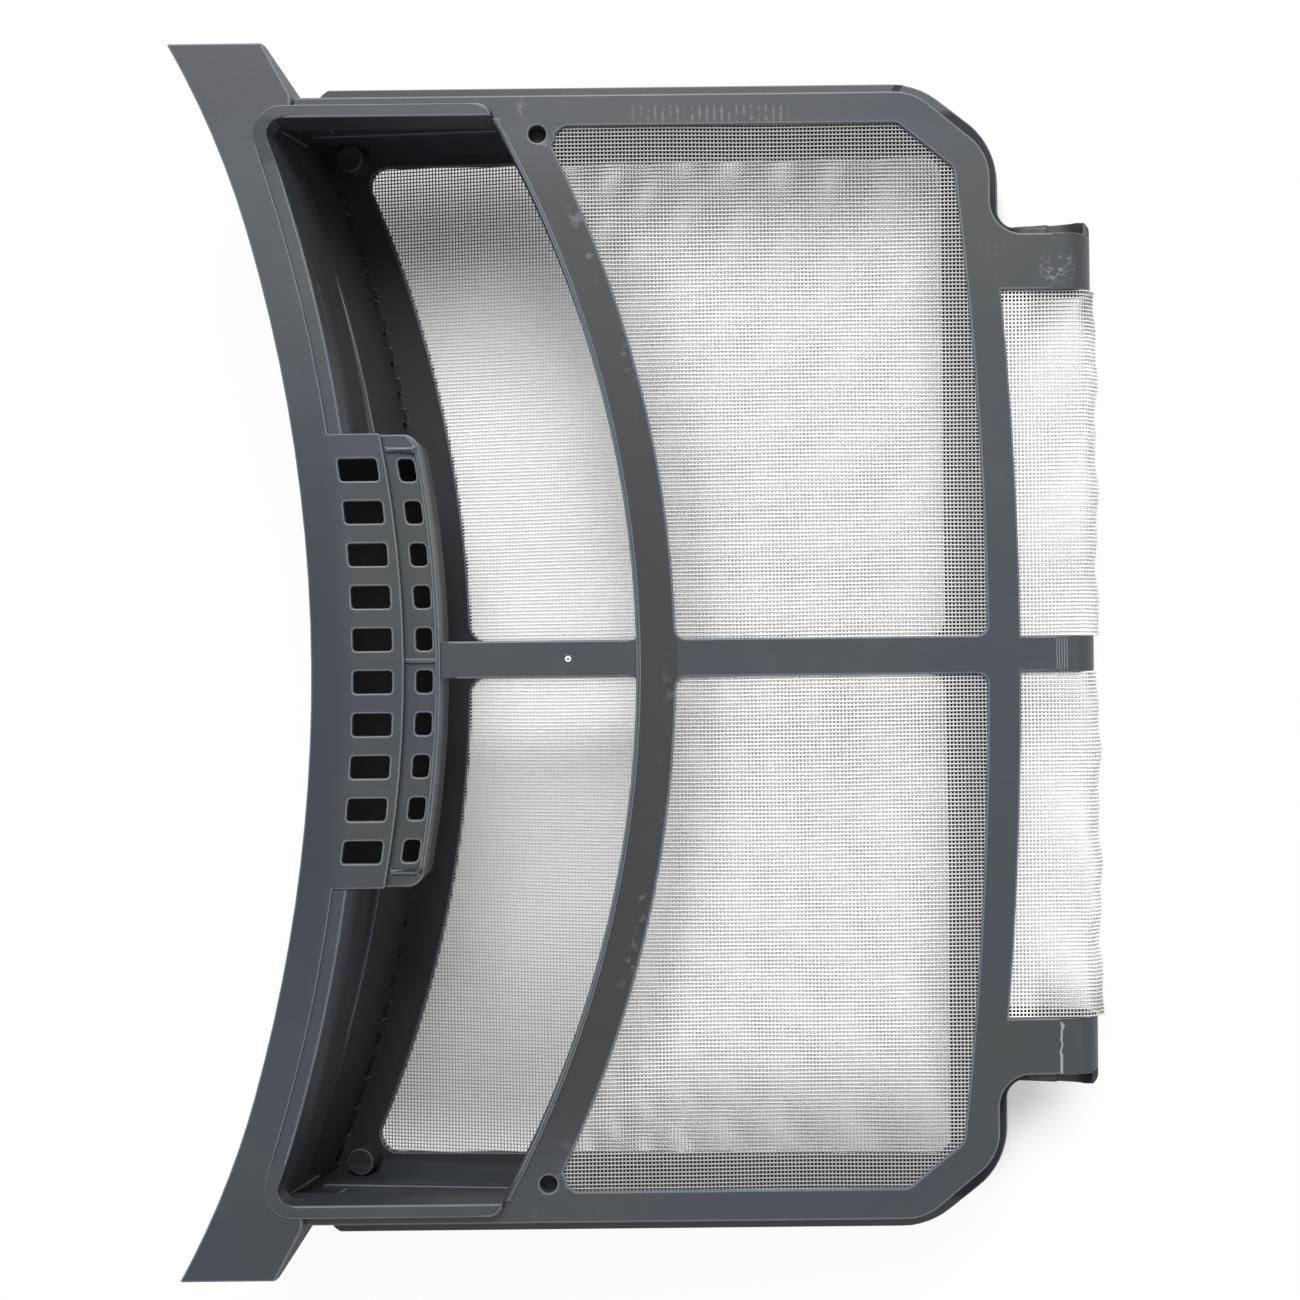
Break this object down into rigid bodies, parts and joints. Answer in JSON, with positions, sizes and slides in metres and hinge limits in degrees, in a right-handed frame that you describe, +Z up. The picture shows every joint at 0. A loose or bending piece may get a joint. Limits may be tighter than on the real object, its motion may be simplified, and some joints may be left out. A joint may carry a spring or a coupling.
{
  "type": "tumble dryer lint filter",
  "caption": "Folding tumble dryer lint filter: a collared inlet half with a curved handle strip and a shallow tray half, both faced with woven mesh, joined along one edge by a film hinge.",
  "frame": {"origin": "bottom centre of the overall box, with the closed filter lying on its rear half", "axes": "+X from the handle strip to the film hinge, +Y along the handle strip, +Z up towards the inlet"},
  "size_m": [0.2066, 0.284, 0.0647],
  "materials": {
    "grey_plastic": "satin moulded plastic, dark blue-grey",
    "white_mesh": "white plain-weave monofilament cloth"
  },
  "bodies": {
    "rear_half": {"rear_frame": "grey_plastic", "rear_mesh": "white_mesh", "hinge_strap_upper": "grey_plastic", "hinge_strap_middle": "grey_plastic", "hinge_strap_lower": "grey_plastic", "hinge_mesh_upper": "white_mesh", "hinge_mesh_lower": "white_mesh"},
    "front_half": {"front_frame": "grey_plastic", "front_mesh": "white_mesh"}
  },
  "joints": [
    {"name": "fold_hinge", "type": "hinge", "parent": "rear_half", "child": "front_half", "pos_m": [0.10515, 0, 0.00596], "axis": [0, 1, 0], "range_deg": [0, 165], "deforming": ["hinge_strap_upper", "hinge_strap_middle", "hinge_strap_lower", "hinge_mesh_upper", "hinge_mesh_lower"]}
  ]
}
